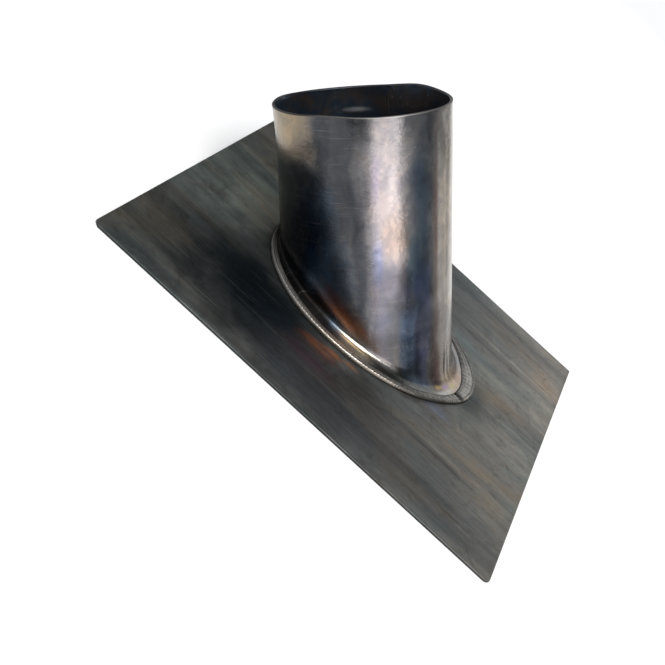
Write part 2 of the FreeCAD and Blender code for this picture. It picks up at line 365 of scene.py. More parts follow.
def make_base_sheet():
    """Section carried round the sheet: out from the hole along the top, over the sheared edge,
    and back underneath. Along each spoke a point lies at a share of the way from the hole's
    oval to the square outline."""
    x, y = sheet_outline(samples=880)
    hole_x = HOLE_MARGIN + BORE / math.cos(PITCH)
    hole_y = HOLE_MARGIN + BORE
    heading = np.arctan2(y, x - FOOT[0])
    spoke = 1 / np.hypot(np.cos(heading) / hole_x, np.sin(heading) / hole_y)
    inner = np.stack([FOOT[0] + spoke * np.cos(heading), spoke * np.sin(heading)], axis=-1)
    outer = np.stack([x, y], axis=-1)
    share = np.linspace(0, 1, 44)
    down = np.array([0, 0.12, 0.5, 0.88, 1])
    tucked_in = np.array([1, 0.3, 0, 0.2, 0.6])
    along = np.concatenate([share[:-1], np.ones(down.size), share[-2::-1]])
    height = np.concatenate([np.full(share.size - 1, LEAD), LEAD * (1 - down),
                             np.zeros(share.size - 1)])
    drawn_in = np.concatenate([np.zeros(share.size - 1), SHEARED_EDGE * tucked_in,
                               np.zeros(share.size - 1)])
    towards = (inner - outer) / np.linalg.norm(inner - outer, axis=1, keepdims=True)
    flat = (inner[:, None] * (1 - along[None, :, None]) + outer[:, None] * along[None, :, None]
            + towards[:, None] * drawn_in[None, :, None])
    unevenness = smooth_noise(flat[..., 0], flat[..., 1], seed=3, shortest=0.03, longest=0.16)
    on_top = (height > LEAD / 2)[None, :]
    z = height[None, :] + np.where(on_top, SHEET_WAVES * unevenness, 0)
    return solid_from_grid("base_sheet_lead", np.dstack([flat, z]))


# Stains on the sheet's top, with one patch of painted light beside the heel among them, laid
# over one another in turn: centre and reach in millimetres from the sheet's middle, colour, and how
# strongly it covers.
SHEET_STAINS_AND_LIGHT = (
    ((-140, 10), (70, 120), (0.160, 0.168, 0.146), 0.7),
    # Painted light: lightens the sheet beside the heel, where the sleeve's shadow and reflection darken it.
    ((-104, 8), (40, 60), (0.30, 0.31, 0.26), 0.9),
    ((-146, -112), (40, 60), (0.082, 0.082, 0.069), 0.75),
    ((-55, -94), (104, 62), (0.004, 0.009, 0.012), 1.0),
    ((-66, -84), (60, 40), (0.002, 0.006, 0.009), 1.0),
    ((10, -128), (90, 40), (0.030, 0.031, 0.033), 0.85),
    ((30, -98), (66, 26), (0.030, 0.029, 0.028), 0.85),
    ((90, -112), (60, 60), (0.068, 0.073, 0.073), 0.75),
    ((98, -16), (40, 34), (0.115, 0.120, 0.112), 0.7),
    ((74, 12), (20, 34), (0.045, 0.062, 0.062), 0.9),
    ((108, 34), (44, 26), (0.21, 0.19, 0.155), 0.7),
    ((92, -4), (19, 38), (0.042, 0.053, 0.052), 0.95),
    ((70, 60), (34, 12), (0.13, 0.15, 0.14), 0.6),
    ((146, 90), (34, 62), (0.26, 0.225, 0.185), 0.75),
    ((112, -58), (30, 22), (0.150, 0.135, 0.110), 0.6),
    ((138, -92), (26, 22), (0.150, 0.130, 0.105), 0.6),
    ((74, -44), (20, 9), (0.075, 0.095, 0.150), 0.75),
    ((-12, -106), (28, 11), (0.034, 0.017, 0.030), 0.85),
    ((-7, -89), (26, 10), (0.060, 0.022, 0.012), 0.9),
    ((-14, -87), (14, 6), (0.13, 0.045, 0.018), 0.9),
    ((1, -82), (13, 5), (0.20, 0.075, 0.028), 1.0),
    ((13, -78.5), (9, 4.5), (0.20, 0.095, 0.045), 0.9),
    ((-4, -88), (12, 5), (0.12, 0.055, 0.032), 0.85),
)

# Streaks that the mill's rolls left, with painted shade and painted highlight as dark and light pairs along
# creases, and a few broad patches that darken or lighten: centre, reach, and how much lighter or darker.
ROLL_STREAKS_AND_SHADE = (
    ((84, 81), (50, 3.6), 0.45), ((95, 91), (64, 3.2), 1.6), ((120, 121), (38, 2.4), 0.6),
    ((90, -89), (45, 3.0), 0.55), ((96, -83), (40, 2.5), 1.3), ((98, -122), (44, 5.0), 0.62),
    ((-122, -120), (34, 3.5), 1.4), ((-126, -95), (30, 3.0), 0.7), ((-120, 4), (24, 4.0), 1.3),
    ((-120, -66), (40, 5.0), 0.7), ((-60, -149), (120, 5.0), 0.7), ((20, 112), (60, 4.0), 0.8),
    ((-130, 60), (40, 4.0), 0.75), ((-128, -34), (34, 4.5), 1.2), ((60, -104), (50, 3.0), 1.25),
    ((95, 130), (76, 30), 0.78), ((-68, -137), (36, 22), 0.40), ((-120, 46), (36, 34), 1.70),
    ((80, -88), (34, 6.0), 0.80),
)


def base_finish():
    """Dull grey milled lead: long soft streaks up the slope, a black bloom by the foot where the
    torch played, brown and blue heat stains at its edge, and painted light and shade: paler down the slope
    and towards the far side, lighter beside the heel, and dark and light lines along creases."""
    f = Finish("base_lead")
    place = f.place()
    streaks = f.noise(f.stretch(place, (6.0, 40.0, 10.0)), 1.0, 4.0, 0.55, 0.6)
    fine = f.noise(f.stretch(place, (60.0, 330.0, 10.0)), 1.0, 5.0, 0.65, 0.8)
    cloud = f.noise(place, 16.0, 6.0, 0.62, 0.6)
    mottle = f.noise(place, 260.0, 6.0, 0.75)
    grime = f.noise(place, 70.0, 6.0, 0.7, 1.2)
    tone = f.weighed(streaks, 0.45, cloud, 0.55)
    colour = f.mix(f.spread(tone, 0.40, 0.62), (0.044, 0.048, 0.047), (0.108, 0.109, 0.103))
    axes = f.node("SeparateXYZ", {"Vector": place}).outputs
    down_slope, far_side, height = axes["X"], axes["Y"], axes["Z"]
    # Painted light: the sheet is made paler down the slope and towards the far side, where the studio light
    # falls brighter.
    pale = f.math("MULTIPLY", f.spread(down_slope, 0.03, 0.15), f.spread(far_side, -0.14, 0.0, 0.35, 1.0))
    colour = f.mix(f.math("MULTIPLY", pale, 0.62), colour, (0.235, 0.222, 0.195))
    colour = f.stained(colour, place, SHEET_STAINS_AND_LIGHT, ragged=0.45, seed_scale=45.0, height=SHEET_TOP)
    # Mill streaks, with painted shade and painted highlight along the creases.
    rolls_and_crease_shade = [(centre, reach, (gain, gain, gain), 0.8) for centre, reach, gain in ROLL_STREAKS_AND_SHADE]
    colour = f.stained(colour, place, rolls_and_crease_shade, ragged=0.25, seed_scale=90.0, height=SHEET_TOP,
                       blend="MULTIPLY")
    hue = f.noise(f.stretch(place, (9.0, 22.0, 10.0), shift=(3, 7, 0)), 1.0, 5.0, 0.6, 0.8)
    colour = f.mix(f.spread(hue, 0.38, 0.50, 0.9, 0.0), colour, (0.90, 1.01, 1.05), "MULTIPLY")
    colour = f.mix(f.spread(hue, 0.50, 0.62, 0.0, 0.9), colour, (1.14, 1.0, 0.86), "MULTIPLY")
    drawn = f.noise(f.stretch(place, (3.0, 70.0, 10.0), shift=(5, 2, 0)), 1.0, 3.0, 0.5, 0.4)
    colour = f.mix(f.spread(drawn, 0.38, 0.50, 0.8, 0.0), colour, (0.68, 0.70, 0.72), "MULTIPLY")
    colour = f.mix(f.spread(drawn, 0.54, 0.66, 0.0, 0.8), colour, (1.30, 1.28, 1.22), "MULTIPLY")
    cuts = ((8, 18.0, 800.0, 0), (-31, 18.0, 800.0, 4), (63, 18.0, 800.0, 9))
    colour = f.scratched(colour, place, cuts, (0.26, 0.25, 0.24))
    colour = f.mix(f.spread(fine, 0.42, 0.66, 0.0, 0.22), colour, (0.35, 0.35, 0.36), "MULTIPLY")
    colour = f.mix(f.spread(grime, 0.50, 0.72, 0.0, 0.75), colour, (0.50, 0.47, 0.44), "MULTIPLY")
    colour = f.mix(f.spread(mottle, 0.54, 0.74, 0.0, 0.8), colour, (1.55, 1.50, 1.40), "MULTIPLY")
    cut_edge = f.spread(height, SHEET_TOP - 0.1 * MM, SHEET_TOP - 0.5 * MM, 0.0, 0.75)
    colour = f.mix(cut_edge, colour, (0.022, 0.023, 0.023))
    roughness = f.spread(f.weighed(fine, 0.5, cloud, 0.5), 0.3, 0.7, 0.36, 0.55)
    relief = f.math("ADD", f.weighed(mottle, 0.6, grime, 0.6), fine)
    return f.finish(colour, roughness, relief, depth=0.00016, metallic=0.6)


base = make_base_sheet()
base.data.materials.append(base_finish())
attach(base, "root")
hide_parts("base_sheet")


# ---------------------------------------------------------------- sleeve
# A strip of the same lead, rolled round a mandrel into a tube with its two ends on the far
# side, then turned out at its foot on the slant into a narrow flange that lies on the sheet.
# Hand work shows: the turn is tight at the heel and easy at the toe, and the rim is uneven.
SEAM = math.radians(90)
SEAM_HALF_GAP = 1.2 * MM
# Dents and swellings in the wall: degrees round the tube, how wide in degrees, millimetres
# up the axis, how long, and how far outwards. The last three are folds above the toe.
DENTS = ((-157, 30, 105, 18, -0.55), (14, 25, 110, 25, 0.35), (110, 6, 124, 5, -0.9),
         (-13, 3, 44, 6, -0.45), (-12, 1.5, -31, 9, -0.5), (-8, 1.7, -28, 10, 0.35),
         (-4, 1.5, -30, 8, -0.4))


# What hand work adds to an even length: degrees round the tube from its toe side, how wide
# in degrees, and millimetres.
FLANGE_EDGE = ((180, 32, -8.0), (-95, 26, 2.4), (5, 26, 4.3), (-30, 10, -1.0), (-120, 16, 0.9))
TURN_OUTWARDS = ((4, 34, 5.4), (-95, 30, 1.0), (180, 45, -2.6))
TURN_UPWARDS = ((4, 34, 3.5), (180, 45, -2.0))
MOUTH = ((-160, 25, 0.9), (178, 18, 0.7), (10, 20, 0.5), (120, 30, -0.6), (62, 18, 0.6),
         (-80, 34, -0.9))
RIM_LINE = ((-97, 13, 1.1), (66, 13, 1.7), (125, 24, -0.7), (178, 12, 0.6), (-8, 14, -0.3))


def bump_at(angle, centre, width):
    """Bell curve round the tube, 1 at its centre: e to minus half the square of the angle from
    the centre over the width. The centre and the width are in degrees."""
    gap = (angle - math.radians(centre) + math.pi) % (2 * math.pi) - math.pi
    return np.exp(-0.5 * (gap / math.radians(width)) ** 2)


def hand_worked(angle, even, humps):
    """Length in metres, from an even one and each hump's bell curve in millimetres."""
    return MM * sum((size * bump_at(angle, centre, width) for centre, width, size in humps), even)


def corner_height(angle):
    """Height up the axis at which the wall would meet the flange's top if the turn were sharp:
    there, the upright parts of that height and of the way out to the wall come to one
    thickness of lead."""
    return (LEAD - OUTER * np.cos(angle) * math.sin(PITCH)) / math.cos(PITCH)


def land(angle):
    """How far the flange's edge lies outside that corner: least at the heel, most at the toe."""
    return hand_worked(angle, even=11.0, humps=FLANGE_EDGE)


def wall_point(angle, height):
    """Outside of the tube at an angle round it and a height along its axis: the true round,
    plus an uneven mouth that dies away below the rim, the dents, and a slight waviness."""
    near_rim = np.exp(-np.maximum(RIM - height, 0) / (9 * MM))
    swell = near_rim * hand_worked(angle, even=0.0, humps=MOUTH)
    for centre, width, middle, length, outwards in DENTS:
        lengthwise = np.exp(-0.5 * ((height - middle * MM) / (length * MM)) ** 2)
        swell = swell + MM * outwards * bump_at(angle, centre, width) * lengthwise
    swell = swell + 0.10 * MM * smooth_noise(angle * OUTER, height, seed=11, shortest=0.018, longest=0.12)
    radius = OUTER + swell
    out = FACING * np.cos(angle)[..., None] + ACROSS * np.sin(angle)[..., None]
    return FOOT + AXIS * height[..., None] + out * radius[..., None]


def edge_frame(angle):
    """The sharp corner of wall and flange at an angle, the level direction out from it, and the
    direction square out from the tube's axis."""
    out = FACING * np.cos(angle)[..., None] + ACROSS * np.sin(angle)[..., None]
    corner = FOOT + AXIS * corner_height(angle)[..., None] + out * OUTER
    level = np.stack([np.cos(angle) * math.cos(PITCH), np.sin(angle), np.zeros_like(angle)], axis=-1)
    return corner, level / np.linalg.norm(level, axis=-1, keepdims=True), out


def outside_surface(angle, flange_steps, turn_steps, wall_steps):
    """Outside of the sleeve, one row for each angle: in from the flange's edge to the turn, a
    conic round it whose middle control point is the sharp corner, and up the wall to the rim."""
    corner, outward, out = edge_frame(angle)
    corner_s = corner_height(angle)
    turn_out = hand_worked(angle, even=4.6, humps=TURN_OUTWARDS)
    turn_up = hand_worked(angle, even=5.0, humps=TURN_UPWARDS)
    rim = RIM + hand_worked(angle, even=-0.4, humps=RIM_LINE)
    edge = corner + outward * land(angle)[:, None]
    start = corner + outward * turn_out[:, None]
    share = np.linspace(0, 1, flange_steps, endpoint=False)[None, :, None]
    flange = edge[:, None] * (1 - share) + start[:, None] * share
    wall_start = wall_point(angle, corner_s + turn_up)
    t = np.linspace(0, 1, turn_steps, endpoint=False)[None, :, None]
    turn = ((1 - t) ** 2 * start[:, None] + 2 * t * (1 - t) * corner[:, None]
            + t ** 2 * wall_start[:, None])
    w = np.linspace(0, 1, wall_steps)[None, :]
    height = (corner_s + turn_up)[:, None] * (1 - w) + rim[:, None] * w
    wall = wall_point(np.broadcast_to(angle[:, None], height.shape), height)
    surface = np.concatenate([flange, turn, wall], axis=1)
    normal = np.cross(np.gradient(surface, axis=0), np.gradient(surface, axis=1))
    normal /= np.linalg.norm(normal, axis=-1, keepdims=True)
    if (normal[:, -1] * out).sum() < 0:
        normal = -normal
    return surface, normal


def lead_fields(piece, points, angle, inside):
    """Height along the axis, way round the tube, height over the sharp corner and level
    distance out from it, in metres, and whether a point is on the bore's side."""
    along = (points - FOOT) @ AXIS
    wrapped = (angle + math.pi) % (2 * math.pi) - math.pi
    add_field(piece, "along", along)
    add_field(piece, "round", np.broadcast_to(wrapped, along.shape) * OUTER)
    add_field(piece, "rise", along - np.broadcast_to(corner_height(angle), along.shape))
    add_field(piece, "inside", np.broadcast_to(inside, along.shape))
    corner, outward, _ = edge_frame(angle)
    add_field(piece, "standing_out", ((points - corner) * outward).sum(axis=-1))


def make_sleeve():
    """Section at each angle: the outside, then back down the bore at the lead's thickness
    along the surface's normal, with the rim and the flange's edge between them."""
    gap = SEAM_HALF_GAP / OUTER
    angle = np.linspace(SEAM + gap, SEAM + 2 * math.pi - gap, 560)
    outside, normal = outside_surface(angle, flange_steps=7, turn_steps=22, wall_steps=54)
    bore_side = outside - normal * LEAD
    below_rim = AXIS * MM * np.array([0.9, 0.25])[None, :, None]
    through = np.array([0.25, 0.75])[None, :, None]
    lip = outside[:, -1:] + AXIS * 0.12 * MM - normal[:, -1:] * LEAD * through
    points = np.concatenate([outside[:, :-1], outside[:, -1:] - below_rim, lip,
                             bore_side[:, -1:] - below_rim[:, ::-1], bore_side[:, -2::-1]], axis=1)
    piece = solid_from_grid("sleeve_lead", points, closed_rows=False)
    half = points.shape[1] // 2
    inside = np.concatenate([np.zeros(half), np.ones(half)])[None, :]
    lead_fields(piece, points, angle[:, None], inside)
    lip_part = np.zeros(points.shape[1])
    lip_part[half - 2:half + 2] = 1
    add_field(piece, "lip", np.broadcast_to(lip_part, points.shape[:2]))
    return piece


# Broad tints on the wall, partly oxide and partly painted reflections: the highlight band's pink, peach and
# lavender, the dark blue band beside it and the cream high on the heel side are painted reflections. Centre
# and reach in millimetres, round the tube from its toe side and up its axis, then colour and how strongly
# it covers.
SLEEVE_TINTS_AND_REFLECTIONS = (
    ((-60, 75), (26, 110), (0.46, 0.41, 0.40), 0.7),
    ((-56, 10), (22, 60), (0.30, 0.32, 0.39), 0.7),
    ((-33, 70), (13, 120), (0.095, 0.135, 0.17), 0.9),
    ((2, 70), (22, 130), (0.53, 0.45, 0.36), 0.9),
    ((-21, 70), (4, 110), (0.16, 0.10, 0.085), 0.75),
    ((-116, 62), (40, 62), (0.03, 0.05, 0.075), 0.9),
    ((-90, 40), (18, 44), (0.08, 0.13, 0.19), 0.8),
    ((-132, 134), (33, 22), (0.42, 0.39, 0.31), 0.9),
    ((-53, 66), (15, 24), (0.47, 0.36, 0.28), 0.7),
    ((-66, 50), (6, 26), (0.27, 0.31, 0.46), 0.8),
    ((-66, 104), (5, 22), (0.40, 0.36, 0.46), 0.6),
    ((-38, 104), (9, 22), (0.05, 0.085, 0.13), 0.6),
)

# Painted reflections: bands of painted shade and painted highlight, darker or lighter than the wall about
# them where the studio's reflections fall dark or bright in it: from, to and softness in millimetres round
# the tube, the same up its axis, and the gain in each colour.
SLEEVE_PAINTED_REFLECTIONS = (
    ((-108, -76, 6), (58, 200, 12), (0.18, 0.19, 0.21)),
    ((-120, -106, 4), (58, 108, 7), (0.25, 0.27, 0.30)),
    ((-120, -95, 6), (-60, 96, 14), (0.90, 1.25, 1.60)),
    ((-98, -77, 5), (-60, 58, 12), (0.36, 0.37, 0.38)),
    ((-124, -98, 5), (-60, 58, 12), (0.34, 0.40, 0.45)),
    ((-78, -69, 3), (-60, 200, 8), (0.66, 0.67, 0.68)),
    ((-81, -72, 2.5), (-60, 84, 14), (0.50, 0.52, 0.56)),
    ((-200, -107, 5), (112, 220, 5), (0.86, 0.72, 0.56)),
    ((-200, -116, 7), (-60, 112, 5), (0.35, 0.35, 0.35)),
    ((-70, -36, 3), (-60, 44, 8), (0.52, 0.52, 0.55)),
    ((-70, -36, 3), (-60, 2, 7), (0.50, 0.48, 0.46)),
    ((-60, -36, 4), (-40, 26, 6), (0.74, 0.76, 0.68)),
    ((-52, -43, 3), (-60, 46, 6), (0.60, 0.60, 0.62)),
    ((-36, 60, 3), (-60, 9, 9), (0.70, 0.68, 0.66)),
    ((-29, -9, 3), (104, 200, 12), (0.46, 0.48, 0.50)),
    ((-18, -10, 3), (-60, 200, 12), (0.74, 0.71, 0.68)),
    ((-27, -18, 3), (-60, 10, 9), (0.50, 0.44, 0.44)),
    ((-27, -20, 2), (10, 105, 9), (0.76, 0.72, 0.70)),
    ((-46, -38, 2), (30, 66, 8), (0.62, 0.78, 0.82)),
    ((-51, -40, 2.5), (-60, 12, 8), (1.40, 1.85, 2.40)),
    ((-40, -30, 2.5), (-60, -14, 6), (0.72, 0.80, 1.12)),
    ((-40, -27, 3), (-20, 40, 10), (1.05, 1.12, 1.45)),
    ((-47, -37, 3), (-20, 56, 10), (1.35, 1.42, 1.60)),
    ((-56, -44, 2), (50, 200, 8), (1.25, 1.25, 1.25)),
    ((-44, -33, 3), (56, 118, 10), (1.60, 1.62, 1.66)),
    ((-33, -27, 3), (60, 96, 10), (1.40, 1.40, 1.40)),
    ((-10, 2, 3), (74, 130, 10), (1.28, 1.28, 1.26)),
    ((-93, -79, 3), (16, 42, 6), (1.80, 1.70, 1.60)),
    ((-68, -52, 3), (-26, 0, 5), (1.50, 1.50, 1.48)),
)

# Heat stains by the foot, with painted light among them: the cream line at (-79, 0) and its dimmer end at
# (-62, 2) are the turn's painted highlight, and the blue-grey patch at (-40, -1) is painted light over a
# dark reflection. Like the tints, but with the height taken from the foot's corner.
FOOT_HEAT_AND_HIGHLIGHT = (
    ((-103, 7), (17, 12), (0.016, 0.011, 0.008), 1.0),
    ((-114, 0), (24, 9), (0.020, 0.016, 0.013), 1.0),
    ((-88, 14), (26, 13), (0.12, 0.050, 0.030), 1.0),
    ((-84, 12), (17, 7.5), (0.25, 0.105, 0.042), 0.85),
    ((-75, 8), (14, 5), (0.12, 0.085, 0.060), 0.7),
    ((-96, 22), (10, 8), (0.10, 0.050, 0.045), 0.7),
    ((-79, 0), (16, 4.0), (0.68, 0.56, 0.37), 0.9),
    ((-62, 2), (11, 4.0), (0.40, 0.38, 0.36), 0.8),
    ((-105, 0), (16, 7), (0.010, 0.009, 0.008), 1.0),
    ((-40, -1), (12, 8), (0.20, 0.25, 0.32), 0.8),
    ((-20.5, 13), (9.5, 22), (0.060, 0.036, 0.030), 0.95),
    ((0, -1), (26, 13), (0.44, 0.33, 0.225), 0.9),
    ((-22, 6), (9, 9), (0.058, 0.034, 0.030), 0.9),
    ((-15, -2), (6, 2.5), (0.27, 0.19, 0.30), 0.7),
    ((-23, -1.5), (6, 2.2), (0.44, 0.32, 0.12), 0.7),
    ((-7, -3.5), (5, 2.5), (0.34, 0.32, 0.15), 0.7),
    ((-22, -5), (18, 2.0), (0.46, 0.46, 0.44), 0.7),
    ((6, -3), (9, 6), (0.36, 0.24, 0.19), 0.7),
    ((-11, 10), (1.6, 16), (0.05, 0.035, 0.028), 0.9),
    ((-4, 8), (1.3, 12), (0.08, 0.055, 0.045), 0.8),
)


def sleeve_finish():
    """Rubbed bright lead with a soft sheen, browned and blued by the torch near its foot, with
    painted reflections in its colour: bands of painted shade and painted highlight.
    """
    f = Finish("sleeve_lead")
    place = f.place()
    height, way_round, rise = f.field("along"), f.field("round"), f.field("rise")
    unrolled = f.node("CombineXYZ", {"X": way_round, "Y": height}).outputs["Vector"]
    by_foot = f.node("CombineXYZ", {"X": way_round, "Y": rise}).outputs["Vector"]
    cloud = f.noise(place, 24.0, 6.0, 0.62, 0.6)
    drawn = f.noise(f.stretch(unrolled, (90.0, 12.0, 1.0)), 1.0, 4.0, 0.6)
    mottle = f.noise(place, 230.0, 6.0, 0.72)
    grime = f.noise(place, 75.0, 6.0, 0.7, 1.2)
    colour = f.mix(f.spread(cloud, 0.36, 0.64), (0.30, 0.295, 0.29), (0.46, 0.44, 0.42))
    # Tints, partly oxide and partly painted reflections.
    colour = f.stained(colour, unrolled, SLEEVE_TINTS_AND_REFLECTIONS, ragged=0.35, seed_scale=50.0)
    wobble = f.math("MULTIPLY", f.math("SUBTRACT", f.noise(place, 38.0, 4.0), 0.5), 16 * MM)
    ragged_round, ragged_height = f.math("ADD", way_round, wobble), f.math("ADD", height, wobble)
    # Painted reflections, laid on as bands of painted shade and painted highlight.
    for round_band, height_band, gain in SLEEVE_PAINTED_REFLECTIONS:
        mask = f.math("MULTIPLY", f.band(ragged_round, *(edge * MM for edge in round_band)),
                      f.band(ragged_height, *(edge * MM for edge in height_band)))
        colour = f.mix(mask, colour, gain, "MULTIPLY")
    patches = f.noise(place, 62.0, 5.0, 0.65, 0.8)
    colour = f.mix(f.spread(patches, 0.42, 0.60, 0.55, 0.0), colour, (0.60, 0.66, 0.76), "MULTIPLY")
    # Heat stains, with the turn's painted highlight and painted light over a dark reflection.
    colour = f.stained(colour, by_foot, FOOT_HEAT_AND_HIGHLIGHT, ragged=0.35, seed_scale=50.0)
    # Painted shade: the flat of the flange, in the valley between the turn and the bead, is darkened,
    # blacker towards the heel.
    flat = f.math("MULTIPLY", f.spread(f.field("standing_out"), 3.0 * MM, 4.6 * MM, 0.0, 0.9),
                  f.math("MULTIPLY", f.spread(way_round, -22 * MM, -32 * MM),
                         f.spread(rise, 9 * MM, 5 * MM)))
    heelward = f.spread(way_round, -84 * MM, -98 * MM)
    colour = f.mix(flat, colour, f.mix(heelward, (0.110, 0.118, 0.100), (0.020, 0.020, 0.020)))
    cuts = ((24, 24.0, 1000.0, 0), (-47, 24.0, 900.0, 3), (9, 24.0, 1300.0, 8))
    colour = f.scratched(colour, unrolled, cuts, (0.40, 0.40, 0.41))
    colour = f.mix(f.spread(drawn, 0.45, 0.7, 0.0, 0.25), colour, (0.12, 0.115, 0.12))
    colour = f.mix(f.spread(grime, 0.54, 0.76, 0.0, 0.5), colour, (0.13, 0.10, 0.085))
    colour = f.mix(f.spread(mottle, 0.58, 0.8, 0.0, 0.3), colour, (0.14, 0.12, 0.115))
    bore = f.mix(f.spread(patches, 0.40, 0.62), (0.080, 0.115, 0.165), (0.165, 0.140, 0.125))
    # Painted glint: a near-white spot on the bore at the dent, where light catches it.
    dent_glint = f.spot(unrolled, (113 * MM, 125.5 * MM, 0), (13 * MM, 2.6 * MM, 1.0), 0.2)
    bore = f.mix(dent_glint, bore, (0.9, 0.9, 0.92))
    colour = f.mix(f.field("inside"), colour, bore)
    rim_line = f.field("lip")
    # Painted shade: the lip is darkened along the front, where it would catch the key light; elsewhere it
    # is a paler grey.
    front_lip_shade = f.band(way_round, -104 * MM, 24 * MM, 14 * MM)
    colour = f.mix(rim_line, colour, f.mix(front_lip_shade, (0.030, 0.030, 0.034), (0.19, 0.18, 0.17)))
    roughness = f.spread(f.weighed(cloud, 0.6, mottle, 0.4), 0.3, 0.7, 0.15, 0.30)
    soot = f.spot(by_foot, (-108 * MM, 0, 0), (24 * MM, 10 * MM, 1.0), 0.2, seed_scale=50.0)
    roughness = f.math("ADD", roughness, f.weighed(rim_line, 0.28, soot, 0.4))
    relief = f.weighed(mottle, 0.5, grime, 1.2)
    return f.finish(colour, roughness, relief, depth=0.00014, metallic=0.92)


sleeve = make_sleeve()
sleeve.data.materials.append(sleeve_finish())
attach(sleeve, "root")
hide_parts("sleeve")

# ------------------------------------------------------------- foot weld
# Lead rod melted in with a torch round the edge of the turned-out flange, one small pool at
# a time, so the bead is a row of overlapping crescents. It wanders a little in width, and
# it laps over its own start at the toe.
POOL_PITCH = 2.35 * MM
BEAD_WIDTH = ((14, 15, 3.4), (-95, 30, 0.3), (180, 40, -0.9), (-122, 20, 0.5))


def smooth_step(value, low, high):
    """0 below low, 1 above high, eased between."""
    t = np.clip((value - low) / (high - low), 0, 1)
    return t * t * (3 - 2 * t)


def flange_edge(steps):
    """Flange's edge walked round at even steps: its whole length, how far round each step is,
    its angle, its place, and the level direction square out from the edge."""
    fine_angle = np.linspace(-math.pi, math.pi, 4001)
    corner, outward, _ = edge_frame(fine_angle)
    edge = corner + outward * land(fine_angle)[:, None]
    run = np.concatenate([[0], np.cumsum(np.linalg.norm(np.diff(edge, axis=0), axis=1))])
    arc = np.linspace(0, run[-1], steps, endpoint=False)
    angle = np.interp(arc, run, fine_angle)
    corner, outward, _ = edge_frame(angle)
    edge = corner + outward * land(angle)[:, None]
    ahead = np.roll(edge, -1, axis=0) - np.roll(edge, 1, axis=0)
    side = np.stack([ahead[:, 1], -ahead[:, 0], np.zeros(steps)], axis=-1)
    side /= np.linalg.norm(side, axis=1, keepdims=True)
    return run[-1], arc, angle, edge, side


def crescents(phase, across, bend):
    """Ripple of the frozen pools, from 0 to 1: it climbs through each pool and drops at its end,
    and it is bent by the square of the distance across from the bead's middle."""
    climb = (phase[:, None] + bend * across ** 2) % 1
    return climb * (1 - smooth_step(climb, 0.86, 1.0))


def ridge(across, middle, width):
    """Bell curve over the bead's section, 1 at its middle: e to minus half the square of the
    distance from the middle over the width, all as shares of the bead's half width."""
    return np.exp(-0.5 * ((across - middle) / width) ** 2)


def make_foot_weld():
    """Section carried round the flange's edge at even steps. From the flange to the sheet it is
    a low crown, steeper outside, with the pools' crescents along it; it closes flat on the
    sheet and against the flange."""
    length, arc, angle, edge, side = flange_edge(steps=1700)
    wander = smooth_noise(np.cos(angle) * 0.1, np.sin(angle) * 0.1, seed=21, shortest=0.008, longest=0.06)
    half_width = hand_worked(angle, even=3.2, humps=BEAD_WIDTH) + 0.22 * MM * wander
    lap = bump_at(angle, -6, 4.0)
    crack = bump_at(angle, -10.5, 0.8)
    crown = MM * (2.45 + 0.12 * wander + 0.35 * lap)
    across = np.linspace(-1, 1, 41)[None, :]
    crest = 0.6
    inner = np.clip((crest - across) / (1 + crest), 0, 1)
    outer = np.clip((across - crest) / (1 - crest), 0, 1)
    height = np.where(across < crest, LEAD + (crown[:, None] - LEAD) * (1 - inner ** 3.5),
                      crown[:, None] * np.sqrt(np.maximum(1 - outer ** 2.4, 0)))
    pools = round(length / POOL_PITCH)
    phase = pools * arc / length + 0.35 * smooth_noise(arc, arc * 0, seed=5, shortest=0.01, longest=0.05)
    ripple = crescents(phase, across, bend=0.55)
    coarse = np.sin(2 * math.pi * (phase[:, None] / 2 + 0.25 * across ** 2))
    middle = 1 - across ** 4
    sway = 0.07 * wander[:, None]
    outer_ridge = ridge(across, 0.66 + sway, width=0.11)
    inner_ridges = ridge(across, 0.14 - sway, width=0.10) + 0.8 * ridge(across, 2 * sway - 0.36, width=0.10)
    inner_ridges = inner_ridges * (1 - 0.75 * bump_at(angle, 8, 24))[:, None]
    height = height + MM * (0.30 * outer_ridge + 0.24 * inner_ridges)
    height = height + MM * middle * (0.10 + 0.20 * outer_ridge) * ripple + MM * middle * 0.06 * coarse
    height = height - MM * 0.9 * crack[:, None] * middle
    reach = (half_width * (1 + 0.06 * lap))[:, None] * across
    reach = reach + MM * 0.16 * (ripple - 0.5) * across ** 3
    top = edge[:, None] + side[:, None] * reach[..., None]
    top[..., 2] = SHEET_TOP + height
    under_reach = np.array([0.75, 0.4, 0, 0, -0.4, -0.75])
    under_height = np.array([0, 0, 0, LEAD, LEAD, LEAD])
    under = edge[:, None] + side[:, None] * (half_width[:, None] * under_reach[None, :])[..., None]
    under[..., 2] = SHEET_TOP + under_height
    points = np.concatenate([top, under], axis=1)
    piece = solid_from_grid("burned_bead", points)
    add_field(piece, "round", np.broadcast_to((angle * OUTER)[:, None], points.shape[:2]))
    add_field(piece, "across", np.concatenate(
        [np.broadcast_to(across, top.shape[:2]), np.ones(under.shape[:2])], axis=1))
    # Painted shade: the dips between the ridges, and the crack, are darkened in the colour.
    hollow_shade = np.clip(1 - outer_ridge - inner_ridges, 0, 1) * middle
    hollow_shade = hollow_shade * (1 - 0.7 * bump_at(angle, 12, 22))[:, None] + crack[:, None]
    add_field(piece, "hollow_shade", np.concatenate([hollow_shade, np.ones(under.shape[:2])], axis=1))
    # Painted highlight: lighter lines along the crests, round the heel.
    crest_highlights = ridge(across, 0.78 + sway, width=0.10) + 0.8 * inner_ridges
    crest_highlights = crest_highlights * np.clip(bump_at(angle, -140, 22) * 1.3, 0, 1)[:, None]
    add_field(piece, "crest_highlight", np.concatenate([crest_highlights, np.zeros(under.shape[:2])], axis=1))
    return piece


